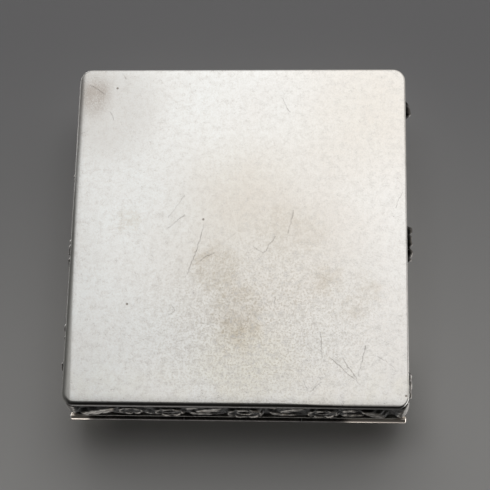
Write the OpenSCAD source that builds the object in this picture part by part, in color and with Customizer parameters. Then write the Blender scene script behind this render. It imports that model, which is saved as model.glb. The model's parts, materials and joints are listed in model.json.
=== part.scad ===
// Hinged silver table box: a plain base tray, a repousse wall, a repousse lid
// and a three-knuckle hinge along the whole of the back.
// Origin: centre of the base's underside. +Z is up, the hinge is at +Y, the thumbpiece at -Y.
// A section across a wall is drawn with x = distance outwards from the tray's outline
// (so inside is negative) and y = height above the table.

/* [Overall] */
// Width of the base tray, left to right
box_w = 90; // [80:1:120]
// Depth of the base tray, front to back
box_d = 94.4; // [80:0.2:120]
// Corner radius of the base tray, seen from above
corner_r = 3.4; // [3.2:0.1:6]
// Height of the hinge axis above the table, where the lid meets the body
mouth_z = 16; // [14:0.5:30]
// Gap between the body's rim and the lid's rim when the box is shut
lid_gap = 0.2; // [0.1:0.05:0.4]
// Gap that solder fills between two fixed pieces
solder_gap = 0.05; // [0.02:0.01:0.08]

/* [Base tray] */
// Thickness of the tray's sheet
tray_t = 0.8; // [0.6:0.1:1]
// Outside radius of the tray's turned-up edge
tray_bend_r = 1.2; // [1.1:0.1:1.6]
// Straight part of the turned-up edge, above its bend
tray_lip = 0.4; // [0.2:0.1:2]

/* [Body] */
// Thickness of the wall's sheet
wall_t = 0.6; // [0.4:0.05:0.8]
// Greatest height of the relief on the right-hand wall
relief_right = 2.9; // [1:0.1:3.5]
// Greatest height of the relief on the back wall, which the opening lid has to clear
relief_back = 1.7; // [0.8:0.1:2.8]
// Greatest height of the relief on the left-hand wall
relief_left = 2.2; // [1:0.1:3.5]
// Greatest height of the relief on the front wall
relief_front = 2.6; // [1:0.1:3.5]
// Plain edge above the tray and below the rim, before the relief starts
wall_margin = 0.5; // [0.3:0.1:1]
// Width over which the wall's relief rises from its plain edges
wall_fade = 1.6; // [0.8:0.1:2.5]
// Height of the half-round rim on the body and on the lid
rim_h = 1.7; // [1.2:0.1:2]
// Thickness of the bezel that the lid closes over
bezel_t = 0.5; // [0.4:0.05:0.8]
// How far the bezel stands above the hinge axis
bezel_proud = 1.6; // [1:0.1:2.2]
// How far the bezel reaches down inside the wall
bezel_drop = 4.5; // [3:0.5:7]
// Gap between the bezel and the lid's rim
bezel_gap = 0.3; // [0.25:0.05:0.45]
// Where the bezel stops, measured forwards from the tray's back edge
bezel_stop = 5; // [4:0.5:10]

/* [Hinge] */
// Distance from the tray's side in to the end of the hinge
hinge_inset = 0; // [0:0.5:8]
// Length of the middle knuckle, which belongs to the lid
centre_knuckle_len = 31.4; // [20:0.2:40]
// How far the middle knuckle sits to the right of the box's middle
centre_knuckle_x = 1.5; // [-4:0.5:4]
// Outside diameter of the knuckle tube
knuckle_d = 1.8; // [1.6:0.05:1.9]
// Diameter of the hinge pin
pin_d = 0.96; // [0.7:0.02:1]
// Radial clearance of the pin in the middle knuckle
pin_run_gap = 0.04; // [0.02:0.01:0.08]
// Radial clearance of the pin and the plugs in the outer knuckles
pin_fixed_gap = 0.02; // [0.01:0.01:0.04]
// Gap between the ends of neighbouring knuckles
knuckle_end_gap = 0.12; // [0.08:0.02:0.3]
// Gap between a knuckle and the other body's bearer
bearer_run_gap = 0.12; // [0.08:0.01:0.2]
// Depth of both hinge bearers, inwards from the tray's outline
bearer_depth = 2; // [1.8:0.1:2.4]
// Length of the plug that closes each end of the hinge
plug_len = 1.4; // [1:0.1:3]
// How far a plug's rounded head stands out of the knuckle
plug_head = 0.25; // [0.1:0.05:0.3]

/* [Lid] */
// Thickness of the lid wall's sheet
lid_wall_t = 0.6; // [0.4:0.05:0.7]
// Step from the lid rim's edge in to the lid wall
lid_step = 0.5; // [0.3:0.05:0.55]
// Height of the straight part of the lid wall
lid_side_h = 2; // [1:0.1:6]
// Radius of the lid's rounded shoulder
shoulder_r = 2.4; // [1.5:0.1:2.4]
// Width of the flat lip that carries the lid's panel
lip_w = 3; // [2:0.1:4]
// Step from the shoulder in to the edge of the lid's panel
panel_inset = 0.5; // [0.3:0.1:1.2]
// Corner radius of the lid's panel
panel_r = 2; // [1:0.1:4]
// Thickness of the panel's sheet
panel_t = 0.5; // [0.4:0.05:0.8]
// Greatest height of the panel's relief above its ground
panel_relief = 2.3; // [1:0.1:3]
// Plain edge of the panel, before the relief starts
panel_margin = 1.6; // [1:0.1:3]
// Width over which the panel's relief rises from its plain edges
panel_fade = 2; // [1:0.1:4]
// Width of the blank field in the middle of the panel
field_w = 34; // [24:1:40]
// Depth of the blank field in the middle of the panel
field_d = 36; // [24:1:42]
// Half width of the raised bead round the blank field
field_bead = 2; // [1.5:0.1:3]
// Height of that bead
field_bead_h = 1.3; // [0.5:0.1:2]

/* [Thumbpiece] */
// Radius of the thumbpiece's round front edge
thumb_r = 12; // [10:0.5:16]
// How far the thumbpiece stands out in front of the lid's rim
thumb_proud = 2.8; // [2:0.1:4]
// Thickness of the thumbpiece
thumb_t = 1.3; // [1:0.1:1.6]

/* [Relief detail] */
// Longest step between points of the wall's relief, along the wall
wall_step = 1.6; // [1.5:0.1:3]
// Longest step between points of the wall's relief, upwards
wall_step_up = 1.3; // [1.2:0.1:3]
// Longest step between points of the panel's relief
panel_grid = 1.7; // [1.65:0.05:3]

/* [Hidden] */
$fn = 48;

// Section places, measured outwards from the tray's outline
wall_out = -(tray_t + solder_gap);
wall_in = wall_out - wall_t;
bezel_out = wall_in - solder_gap;
bezel_in = bezel_out - bezel_t;
lid_rim_in = bezel_out + bezel_gap;
lid_wall_in = -(lid_step + lid_wall_t);
shoulder_in = -(lid_step + shoulder_r);
lip_in = shoulder_in - lip_w;
panel_out = shoulder_in - panel_inset;

// Heights above the table
tray_h = tray_bend_r + tray_lip;
body_rim_z = mouth_z - lid_gap / 2 - rim_h;
lid_rim_z = mouth_z + lid_gap / 2;
lid_wall_z = lid_rim_z + rim_h;
shoulder_z = lid_wall_z + lid_side_h;
lip_z = shoulder_z + shoulder_r;
wall_z = tray_bend_r;
band_low = tray_h + wall_margin;
band_high = body_rim_z - wall_margin;

// The hinge axis runs along X over the tray's back edge
hinge_y = box_d / 2;
hinge_len = box_w - 2 * hinge_inset;
knuckle_r = knuckle_d / 2;
fixed_bore_r = pin_d / 2 + pin_fixed_gap;
running_bore_r = pin_d / 2 + pin_run_gap;
knuckle_end_x = hinge_len / 2 - plug_head;
centre_left_x = centre_knuckle_x - centre_knuckle_len / 2;
centre_right_x = centre_knuckle_x + centre_knuckle_len / 2;
plug_in_x = knuckle_end_x - plug_len;
groove_fixed_r = knuckle_r + solder_gap;
groove_run_r = knuckle_r + bearer_run_gap;

// Half sizes of the lid's panel
panel_x = box_w / 2 + panel_out;
panel_y = box_d / 2 + panel_out;

// Sides of the box, counted from the right hand: right, back, left, front
RIGHT = 0;
BACK = 1;
LEFT = 2;
FRONT = 3;
ALL_SIDES = [RIGHT, BACK, LEFT, FRONT];
function is_across(side) = side == RIGHT || side == LEFT;
function side_half(side) = (is_across(side) ? box_w : box_d) / 2;
function side_run(side) = (is_across(side) ? box_d : box_w) - 2 * corner_r;

// A straight length of a section along one side of the box
module along_side(side) {
    rotate([0, 0, 90 * side])
        translate([side_half(side), side_run(side) / 2, 0])
            rotate([90, 0, 0])
                linear_extrude(side_run(side)) children();
}

// A section turned round the corner that follows a side
module round_corner(side) {
    rotate([0, 0, 90 * side])
        translate([side_half(side) - corner_r, side_run(side) / 2, 0])
            rotate_extrude(angle = 90)
                translate([corner_r, 0]) children();
}

// A section carried along the given sides and corners
module frame_of(sides, corners) {
    for (side = sides) along_side(side) children();
    for (side = corners) round_corner(side) children();
}

// The tray's outline, moved outwards by a distance that may be negative
module outline(out, r = 0) {
    radius = max(corner_r + out, r);
    x = box_w / 2 + out - radius;
    y = box_d / 2 + out - radius;
    square([2 * x, 2 * (y + radius)], center = true);
    square([2 * (x + radius), 2 * y], center = true);
    for (sx = [-1, 1], sy = [-1, 1]) translate([sx * x, sy * y]) circle(radius);
}

// Half-round section, flat on the inside
module rim_section(inside, low) {
    bead = rim_h / 2;
    translate([inside, low]) square([-inside - bead, rim_h]);
    intersection() {
        translate([-bead, low + bead]) circle(bead);
        translate([-bead, low]) square([bead, rim_h]);
    }
}

// 1 in the middle of a shape, rounding off to 0 at its edge
function swell(q) = q >= 1 ? 0 : (1 + cos(180 * q)) / 2;

// A flower head: a raised rim round a hollow with a low boss
function flower(x, y, r) = let (d = norm([x, y]) / r)
    max(swell(abs(d - 0.85) / 0.35), 0.7 * swell(d / 0.6));

// A leaf: a long dome of these half sizes, turned by its tilt and bent sideways by its bow
function leaf(x, y, r, width, tilt, bow) =
    let (
        u = (x * cos(tilt) + y * sin(tilt)) / r,
        v = y * cos(tilt) - x * sin(tilt) + bow * u * u,
        q = abs(u) >= 1 ? 1 : abs(v) / (width * sqrt(1 - u * u))
    )
    q >= 1 ? 0 : (0.75 + 0.15 * u) * sqrt(1 - q * q);

// A fan-shaped shell, which opens towards +X and is higher at its edge
function fan(x, y, r) = let (d = norm([x, y]) / r)
    x < 0 || d > 1 ? 0 : 0.45 + 0.45 * d;

// The highest of an ornament's flowers, [x, y, radius, height share], and of its leaves,
// [x, y, half length, half width, tilt, bow, height share], at one point
function ornament(x, y, flowers, leaves) = max(concat(
    [0],
    [for (m = flowers) m[3] * flower(x - m[0], y - m[1], m[2])],
    [for (m = leaves) m[6] * leaf(x - m[0], y - m[1], m[2], m[3], m[4], m[5])]
));

// A wall's ornament from its left end to its right, seen from outside, measured from its middle
// It is drawn for a wall of this half length and a band of this height, and stretched to fit others
drawn_run = 41.6;
drawn_band = 10.6;
main_flower = [[-2.5, 0, 5.2, 1]];
wall_flowers = [[-22.9, 0, 4.5, 0.95], [17.5, 0, 4.3, 0.92], [27.6, -0.4, 3.6, 0.8]];
wall_leaves = [
    [-30.2, 2.7, 4.4, 2.1, -14, 1.1, 0.78],
    [-30, -2.7, 4.4, 2.1, 14, -1.1, 0.78],
    [-15, -2.5, 4.8, 2.1, 26, -1.2, 0.75],
    [-11.8, 2.3, 4.8, 2.1, -30, 1.2, 0.78],
    [5.9, -1.6, 4.8, 2.6, 18, 0.8, 0.8],
    [10, 2.8, 4.4, 1.9, -28, 1.1, 0.75],
    [12.2, -3, 3.4, 1.7, 24, -0.8, 0.72],
    [22.9, 2.6, 3.6, 1.8, -40, 0.9, 0.7]
];
corner_leaves = [
    [-43.2, 0.2, 5, 2.3, 80, -1, 0.85],
    [-36.6, 0.4, 5.4, 3.2, -62, -0.9, 1],
    [35.6, 0, 6, 3.2, 24, 1.1, 1],
    [43.2, 0.2, 4.9, 2.3, -78, 1, 0.85]
];
// For the right, back, left and front walls: how far the middle of the drawing slides to the
// right, and the height of its lesser flowers and leaves
slides = [3.2, 0, -2, 1];
lesser = [0.5, 1, 1, 1];

// An eighth of the lid's ornament, mirrored across its diagonal and its two middle lines
// It is drawn for a panel of these half sizes, and stretched to fit others
drawn_panel_x = 41.6;
drawn_panel_y = 43.8;
panel_share = drawn_panel_x / drawn_panel_y;
corner_flower = [31, 33, 7.4, 1];
side_flower = [16.8, 34.2, 4.6, 0.88];
side_leaves = [
    [15.4, 25.8, 6, 2.9, -22, 1.5, 0.82],
    [22.8, 28.4, 4.8, 2.3, 68, 1.1, 0.78],
    [9.6, 39, 4.8, 2.1, 170, -0.9, 0.78],
    [22.4, 39.2, 4, 2, -24, -1, 0.75],
    [9.9, 22, 4.2, 1.5, 6, 0.9, 0.6],
    [11.4, 31.6, 4.2, 1.6, 100, -1.2, 0.7]
];
shell_y = 26;
shell_r = 10.2;
shell_share = 0.92;
lid_flowers = [
    corner_flower,
    side_flower,
    [side_flower[1] * panel_share, side_flower[0] / panel_share, side_flower[2], side_flower[3]]
];
lid_leaves = concat(
    side_leaves,
    [for (m = side_leaves)
        [m[1] * panel_share, m[0] / panel_share, m[2], m[3], 90 - m[4], -m[5], m[6]]]
);
function lid_ornament(x, y) = max(
    ornament(x, y, lid_flowers, lid_leaves),
    shell_share * fan(y - shell_y, x, shell_r),
    shell_share * fan(x - shell_y * panel_share, y, shell_r)
);

// Fades the relief out towards an edge that lies a distance away
function fade(distance, over) = max(0, min(1, distance / over));

// Near a corner the greatest height changes from one side's to the next, over this part of the wall
blend_from = 33.5;
blend_over = 9.5;
reliefs = [relief_right, relief_back, relief_left, relief_front];
function relief_at(side, drawn) =
    let (next = reliefs[(side + (drawn > 0 ? 1 : 3)) % 4])
    reliefs[side] + (next - reliefs[side]) * fade(abs(drawn) - blend_from, blend_over) / 2;

// Points round the wall: [x, y, outward direction x, y, side, drawn distance from its middle]
wall_r = corner_r + wall_out;
corner_steps = 4;
function turned(p, a) = [p[0] * cos(a) - p[1] * sin(a), p[0] * sin(a) + p[1] * cos(a)];
function wall_station(side, along, angle) =
    let (
        turn = 90 * side,
        from = turned([side_half(side) - corner_r, along], turn),
        out = turned([1, 0], turn + angle),
        after = angle > 45,
        own = after ? (side + 1) % 4 : side,
        run = side_run(own) / 2,
        past = wall_r * (after ? 90 - angle : angle) * PI / 180,
        drawn = (angle == 0 ? along : (after ? -1 : 1) * (run + past)) * drawn_run / run
    )
    [from[0] + wall_r * out[0], from[1] + wall_r * out[1], out[0], out[1], own, drawn];
stations = [
    for (side = ALL_SIDES)
        let (run = side_run(side), steps = ceil(run / wall_step))
        each concat(
            [for (i = [0 : steps - 1]) wall_station(side, run * (i / steps - 0.5), 0)],
            [for (i = [0 : corner_steps - 1]) wall_station(side, run / 2, 90 * i / corner_steps)]
        )
];
band = band_high - band_low;
band_rows = ceil(band / wall_step_up);
wall_heights = concat(
    [wall_z],
    [for (i = [0 : band_rows]) band_low + band * i / band_rows],
    [body_rim_z]
);
function wall_height(side, drawn_x, z) =
    let (
        y = (z - band_low - band / 2) * drawn_band / band,
        x = drawn_x - slides[side]
    )
    relief_at(side, drawn_x) * fade(min(z - band_low, band_high - z), wall_fade) * max(
        ornament(drawn_x, y, [], corner_leaves),
        ornament(x, y, main_flower, []),
        lesser[side] * ornament(x, y, wall_flowers, wall_leaves)
    );

// Faces of a grid of points, rows by columns, which wraps round if asked
function skin(rows, cols, first, flip, wrap) = [
    for (j = [0 : rows - 2], i = [0 : cols - (wrap ? 1 : 2)])
        let (
            n = (i + 1) % cols,
            a = first + j * cols + i,
            b = first + j * cols + n,
            c = b + cols,
            d = a + cols
        )
        each (flip ? [[a, b, c], [a, c, d]] : [[a, c, b], [a, d, c]])
];

module base_tray() {
    color("silver") {
        linear_extrude(tray_t) outline(-tray_bend_r);
        frame_of(ALL_SIDES, ALL_SIDES) intersection() {
            difference() {
                translate([-tray_bend_r, tray_bend_r]) circle(tray_bend_r);
                translate([-tray_bend_r, tray_bend_r]) circle(tray_bend_r - tray_t);
            }
            translate([-tray_bend_r, 0]) square(tray_bend_r);
        }
        frame_of(ALL_SIDES, ALL_SIDES)
            translate([-tray_t, tray_bend_r]) square([tray_t, tray_lip]);
    }
}

// One strip of sheet bent round the box; the relief is hollow behind, as raised work is
module body_wall() {
    rows = len(wall_heights);
    cols = len(stations);
    points = [
        for (depth = [0, wall_t], z = wall_heights, s = stations)
            let (out = wall_height(s[4], s[5], z) - depth)
            [s[0] + out * s[2], s[1] + out * s[3], z]
    ];
    inner = rows * cols;
    top = (rows - 1) * cols;
    ends = [
        for (i = [0 : cols - 1])
            let (n = (i + 1) % cols)
            each [
                [i, n, inner + n], [i, inner + n, inner + i],
                [top + i, inner + top + n, top + n], [top + i, inner + top + i, inner + top + n]
            ]
    ];
    color("darkgray")
        polyhedron(points, concat(
            skin(rows, cols, 0, false, true), skin(rows, cols, inner, true, true), ends
        ));
}

module body_rim() {
    color("silver")
        frame_of([RIGHT, LEFT, FRONT], [LEFT, FRONT]) rim_section(wall_in, body_rim_z);
}

module inner_bezel() {
    stop_y = box_d / 2 - bezel_stop;
    low = mouth_z - bezel_drop;
    color("gold")
        intersection() {
            translate([0, 0, low]) linear_extrude(bezel_drop + bezel_proud) difference() {
                outline(bezel_out);
                outline(bezel_in);
            }
            translate([-box_w / 2, stop_y - box_d, low])
                cube([box_w, box_d, bezel_drop + bezel_proud]);
        }
}

// A strip along the back, hollowed out along its edge for the knuckles
// Its own knuckles are soldered in, and the other body's turn freely
module hinge_bearer(low, own_is_centre) {
    own_r = own_is_centre ? groove_fixed_r : groove_run_r;
    other_r = own_is_centre ? groove_run_r : groove_fixed_r;
    from_x = centre_left_x - knuckle_end_gap / 2;
    to_x = centre_right_x + knuckle_end_gap / 2;
    difference() {
        frame_of([BACK], [RIGHT, BACK])
            translate([-bearer_depth, low]) square([bearer_depth, rim_h]);
        translate([0, hinge_y, mouth_z]) rotate([0, 90, 0]) {
            translate([0, 0, from_x]) cylinder(r = own_r, h = to_x - from_x);
            translate([0, 0, from_x - box_w]) cylinder(r = other_r, h = box_w);
            translate([0, 0, to_x]) cylinder(r = other_r, h = box_w);
        }
    }
}

module body_hinge_bearer() {
    color("silver") hinge_bearer(body_rim_z, false);
}

module lid_hinge_bearer() {
    color("silver") hinge_bearer(lid_rim_z, true);
}

// A length of tube along the hinge axis
module knuckle(from_x, to_x, bore_r) {
    translate([from_x, hinge_y, mouth_z]) rotate([0, 90, 0]) difference() {
        cylinder(r = knuckle_r, h = to_x - from_x);
        translate([0, 0, -knuckle_r]) cylinder(r = bore_r, h = to_x - from_x + knuckle_d);
    }
}

module hinge_knuckle_left() {
    color("silver") knuckle(-knuckle_end_x, centre_left_x - knuckle_end_gap, fixed_bore_r);
}

module hinge_knuckle_right() {
    color("silver") knuckle(centre_right_x + knuckle_end_gap, knuckle_end_x, fixed_bore_r);
}

module hinge_knuckle_centre() {
    color("silver") knuckle(centre_left_x, centre_right_x, running_bore_r);
}

module hinge_pin() {
    color("dimgray") translate([-plug_in_x, hinge_y, mouth_z]) rotate([0, 90, 0])
        cylinder(d = pin_d, h = 2 * plug_in_x);
}

// A short peg with a domed head that hides the end of the pin
module hinge_plug() {
    head_r = (knuckle_r * knuckle_r + plug_head * plug_head) / (2 * plug_head);
    color("silver") translate([0, hinge_y, mouth_z]) rotate([0, 90, 0]) rotate_extrude() {
        translate([0, plug_in_x]) square([pin_d / 2, plug_len]);
        intersection() {
            translate([0, hinge_len / 2 - head_r]) circle(head_r);
            translate([0, knuckle_end_x]) square([knuckle_r, plug_head]);
        }
    }
}

module hinge_plug_right() {
    hinge_plug();
}

module hinge_plug_left() {
    mirror([1, 0, 0]) hinge_plug();
}

module lid_rim() {
    color("silver")
        frame_of([RIGHT, LEFT, FRONT], [LEFT, FRONT]) rim_section(lid_rim_in, lid_rim_z);
}

module lid_wall() {
    arc_in_r = shoulder_r - lid_wall_t;
    color("silver") {
        frame_of(ALL_SIDES, ALL_SIDES) {
            translate([lid_wall_in, lid_wall_z]) square([lid_wall_t, lid_side_h]);
            intersection() {
                difference() {
                    translate([shoulder_in, shoulder_z]) circle(shoulder_r);
                    translate([shoulder_in, shoulder_z]) circle(arc_in_r);
                }
                translate([shoulder_in, shoulder_z]) square(shoulder_r);
            }
        }
        translate([0, 0, lip_z - lid_wall_t]) linear_extrude(lid_wall_t) difference() {
            outline(shoulder_in);
            outline(lip_in, panel_r);
        }
    }
}

// The lid's panel, raised from one sheet and hollow behind
module lid_top() {
    cols = 2 * ceil(panel_x / panel_grid) + 1;
    straight_rows = 2 * ceil((panel_y - panel_r) / panel_grid);
    ys = concat(
        [for (i = [0 : corner_steps - 1])
            -panel_y + panel_r * (1 - cos(90 * i / corner_steps))],
        [for (i = [0 : straight_rows]) (panel_y - panel_r) * (2 * i / straight_rows - 1)],
        [for (i = [corner_steps - 1 : -1 : 0])
            panel_y - panel_r * (1 - cos(90 * i / corner_steps))]
    );
    rows = len(ys);
    function row_half(y) = let (past = max(0, abs(y) - (panel_y - panel_r)))
        panel_x - panel_r + sqrt(max(0, panel_r * panel_r - past * past));
    function relief(x, y) =
        let (
            edge = min(panel_x - abs(x), panel_y - abs(y)) - panel_margin,
            field = max(abs(x) - field_w / 2, abs(y) - field_d / 2),
            drawn_x = abs(x) * drawn_panel_x / panel_x,
            drawn_y = abs(y) * drawn_panel_y / panel_y
        )
        max(
            panel_relief * fade(edge, panel_fade) * fade(field, panel_fade)
                * lid_ornament(drawn_x, drawn_y),
            field_bead_h * swell(abs(field) / field_bead)
        );
    points = [
        for (depth = [0, panel_t], y = ys, i = [0 : cols - 1])
            let (x = row_half(y) * (2 * i / (cols - 1) - 1))
            [x, y, lip_z + panel_t - depth + relief(x, y)]
    ];
    under = rows * cols;
    last = (rows - 1) * cols;
    sides = concat(
        [for (i = [0 : cols - 2]) each [
            [i, i + 1, under + i + 1], [i, under + i + 1, under + i],
            [last + i, under + last + i + 1, last + i + 1],
            [last + i, under + last + i, under + last + i + 1]
        ]],
        [for (j = [0 : rows - 2]) let (a = j * cols, b = a + cols, c = a + cols - 1, d = c + cols)
            each [
                [a, under + a, under + b], [a, under + b, b],
                [c, under + d, under + c], [c, d, under + d]
            ]]
    );
    color("gainsboro")
        polyhedron(points, concat(
            skin(rows, cols, 0, false, false), skin(rows, cols, under, true, false), sides
        ));
}

// A round lip soldered to the lid's front rim and cut to fit over it
module thumbpiece() {
    bead = rim_h / 2;
    middle_z = lid_rim_z + bead;
    centre_y = -(box_d / 2 + thumb_proud - thumb_r);
    color("silver") difference() {
        translate([0, centre_y, middle_z]) rotate_extrude() {
            translate([0, -thumb_t / 2]) square([thumb_r - thumb_t / 2, thumb_t]);
            translate([thumb_r - thumb_t / 2, 0]) circle(thumb_t / 2);
        }
        translate([-thumb_r, -(box_d / 2 - bead), middle_z]) rotate([0, 90, 0])
            cylinder(r = bead + solder_gap, h = 2 * thumb_r);
        translate([-thumb_r, -(box_d / 2 - bead), middle_z - thumb_t])
            cube([2 * thumb_r, 2 * thumb_r, 2 * thumb_t]);
    }
}

base_tray();
body_wall();
body_rim();
inner_bezel();
body_hinge_bearer();
hinge_knuckle_left();
hinge_knuckle_right();
hinge_pin();
hinge_plug_left();
hinge_plug_right();
hinge_knuckle_centre();
lid_hinge_bearer();
lid_rim();
lid_wall();
lid_top();
thumbpiece();
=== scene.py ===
import json
import math

import bpy
import numpy as np
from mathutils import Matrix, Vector


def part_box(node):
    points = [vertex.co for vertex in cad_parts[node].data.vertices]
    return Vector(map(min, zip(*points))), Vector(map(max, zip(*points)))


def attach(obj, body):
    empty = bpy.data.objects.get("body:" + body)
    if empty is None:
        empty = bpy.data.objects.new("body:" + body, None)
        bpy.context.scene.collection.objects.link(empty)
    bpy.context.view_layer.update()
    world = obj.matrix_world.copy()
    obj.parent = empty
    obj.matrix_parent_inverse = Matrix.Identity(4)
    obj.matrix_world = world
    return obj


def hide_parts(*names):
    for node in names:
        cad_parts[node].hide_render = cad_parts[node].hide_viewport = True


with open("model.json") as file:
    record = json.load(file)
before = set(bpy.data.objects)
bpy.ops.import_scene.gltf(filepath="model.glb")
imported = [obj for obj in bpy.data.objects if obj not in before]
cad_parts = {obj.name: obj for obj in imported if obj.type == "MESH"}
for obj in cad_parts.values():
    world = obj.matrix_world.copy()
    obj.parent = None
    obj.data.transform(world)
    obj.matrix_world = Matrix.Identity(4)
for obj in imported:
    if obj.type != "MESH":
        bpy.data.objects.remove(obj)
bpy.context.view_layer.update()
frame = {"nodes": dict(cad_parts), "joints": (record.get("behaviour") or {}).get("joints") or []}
cad = frame["nodes"]
MM = 0.001


# Base tray: one sheet of silver with its edge turned up round a small radius, plain
# underneath. The underside is worn, finely scratched all over and stained in the
# middle; the inside is gilt. The sheet sits outside the foot of the wall.
class Shade:
    """An output of a shader node; arithmetic on it adds Math nodes to its tree."""

    def __init__(self, tree, socket=None):
        self.tree, self.socket = tree, socket

    def node(self, kind, inputs=None, out=0, stops=None, **settings):
        """Adds a node with its settings, ramp stops and inputs, and gives one of its outputs."""
        made = self.tree.nodes.new("ShaderNode" + kind)
        for name, value in settings.items():
            setattr(made, name, value)
        for count, (at, colour) in enumerate(stops or []):
            ramp = made.color_ramp.elements
            stop = ramp[count] if count < 2 else ramp.new(at)
            stop.position, stop.color = at, (*colour, 1)
        for name, value in (inputs or {}).items():
            if isinstance(value, Shade):
                self.tree.links.new(value.socket, made.inputs[name])
            else:
                made.inputs[name].default_value = value
        return Shade(self.tree, made.outputs[out] if len(made.outputs) else None)

    def math(self, how, *values):
        return self.node("Math", dict(enumerate([self, *values])), operation=how)

    def __add__(self, other):
        return self.math("ADD", other)

    def __sub__(self, other):
        return self.math("SUBTRACT", other)

    def __rsub__(self, other):
        return self.node("Math", {0: other, 1: self}, operation="SUBTRACT")

    def __mul__(self, other):
        return self.math("MULTIPLY", other)

    def __abs__(self):
        return self.math("ABSOLUTE")

    __radd__ = __add__
    __rmul__ = __mul__

    def most(self, other):
        """The greater of this and another value."""
        return self.math("MAXIMUM", other)

    def step(self, low, high):
        """0 below one value and 1 above the other, smooth between."""
        return self.node("MapRange", {0: self, 1: low, 2: high}, interpolation_type="SMOOTHSTEP")

    def tint(self, first, second, how="MIX"):
        """From the first colour to the second as this value goes from 0 to 1."""
        first, second = [(*colour, 1) if isinstance(colour, tuple) else colour
                         for colour in (first, second)]
        return self.node("Mix", {0: self, 6: first, 7: second}, 2,
                         data_type="RGBA", blend_type=how)

    def moved(self, spot, turn=0, size=(1, 1, 1)):
        """This place on the piece, measured from a spot along turned axes, in units of a size."""
        return self.node("Mapping", {"Vector": self, "Location": (*spot, 0), "Scale": size,
                                     "Rotation": (0, 0, math.radians(turn))}, vector_type="TEXTURE")

    def grain(self, scale, detail=2, roughness=0.5, warp=0):
        """Soft noise from 0 to 1; the scale is in features per mm."""
        return self.node("TexNoise", {"Vector": self, "Scale": scale, "Detail": detail,
                                      "Roughness": roughness, "Distortion": warp})

    def split(self):
        """The three parts of a place, along x, y and z."""
        parts = self.node("SeparateXYZ", {0: self}).socket.node.outputs
        return [Shade(self.tree, part) for part in parts]


def new_finish(name):
    """A new material, and the place on the piece in mm."""
    finish = bpy.data.materials.new(name)
    finish.use_nodes = True
    finish.node_tree.nodes.clear()
    place = Shade(finish.node_tree).node("TexCoord", out=3)
    return finish, place.node("VectorMath", {0: place, 3: 1 / MM}, operation="SCALE")


def metal(place, colour, roughness, dents, depth):
    """Joins a metal's colour, roughness and dents, whose full depth is in mm."""
    normal = place.node("Bump", {"Height": dents, "Distance": depth * MM, "Strength": 1})
    shader = place.node("BsdfPrincipled", {"Base Color": colour, "Roughness": roughness,
                                           "Metallic": 1, "Normal": normal})
    place.node("OutputMaterial", {0: shader})


def hairlines(place, turn, spacing, length, width):
    """Long fine scratches that run one way, 1 on a line and 0 off it."""
    streaks = place.moved((0, 0), turn, (length, spacing, 1)).grain(1, 2, 0.55, 0.3)
    return 1 - abs(streaks - 0.5).step(0, width)


def bent_place(place, reach, scale, detail, roughness=0.5):
    """The place shifted by soft noise, by up to half of a reach in mm."""
    noise = place.node("TexNoise", {"Vector": place, "Scale": scale, "Detail": detail,
                                    "Roughness": roughness}, 1)
    noise = place.node("VectorMath", {0: noise, 1: (0.5, 0.5, 0.5)}, operation="SUBTRACT")
    return place.node("VectorMath", {0: noise, 1: (reach, reach, 0), 2: place},
                      operation="MULTIPLY_ADD")


def nearest(place, lines):
    """How far it is, in mm, to the nearest of some straight lines between two places."""
    far = 9
    for start, end in lines:
        run = (end[0] - start[0], end[1] - start[1])
        spot = place.moved(start, math.degrees(math.atan2(run[1], run[0])))
        on_line = spot.node("VectorMath", {0: spot, 1: (math.hypot(*run), 0, 9)},
                            operation="MINIMUM")
        on_line = on_line.node("VectorMath", {0: on_line, 1: (0, 0, -9)}, operation="MAXIMUM")
        away = spot.node("VectorMath", {0: spot, 1: on_line}, 1, operation="DISTANCE")
        far = away.math("MINIMUM", far)
    return far


def patch(place, spot, size, soft=0.5):
    """A soft-edged round patch, 1 in its middle."""
    far = place.moved(spot, 0, (*size, 1000))
    return 1 - far.node("VectorMath", {0: far}, 1, operation="LENGTH").step(1 - soft, 1 + soft)


low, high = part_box("base_tray")
EDGE_X, EDGE_Y = high.x / MM, high.y / MM
# Fine wear runs at each of these turns, with this length in mm
WEAR = ((4, 11), (27, 8), (49, 9), (78, 12), (103, 7), (131, 9), (158, 10))
SCRATCHES = (
    ((-14.9, -10.1), (-18.8, -3.9)), ((-14.4, -4.7), (-19, -0.9)), ((-9.1, -2), (-10.3, 3)),
    ((-10.3, 3), (-12, 8.3)), ((-12, 8.3), (-13.8, 12.8)), ((-9.9, 8.3), (-6.2, 5.7)),
    ((-9.6, 25), (-5.9, 25.8)), ((-17.1, 20.4), (-16.1, 21.6)), ((-16.1, 21.6), (-17.8, 22.9)),
    ((4.2, 4.2), (6.9, 5.9)), ((6.9, 5.9), (10.1, 1.1)), ((14.9, -6.1), (13.3, 0.2)),
    ((10.1, 17.7), (10.1, 19.6)), ((17.8, 40.2), (19.3, 42.9)), ((19.7, 42.9), (22.3, 40.5)),
    ((24.6, 34), (32.5, 41.2)), ((27.8, 34), (31.5, 39.8)), ((37, 33.6), (41.4, 36.8)),
    ((22.2, 27.2), (22.6, 34)), ((31.9, 38.8), (34, 30.9)), ((-42.1, -42.5), (-37.8, -40.1)),
    ((-36.1, -34.6), (-35.1, -32.2)), ((-43.8, -28.2), (-42, -28.9)),
    ((-33.4, -46), (-32.2, -44.4)), ((11, -38.9), (13.5, -34.5)), ((43.8, -11.4), (42.1, -6.9)))
PITS = ((-9.4, -3.5), (-28.9, 20.1), (44.2, 43.9), (-34.4, -41.6))
PIT_R = 0.3
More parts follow.
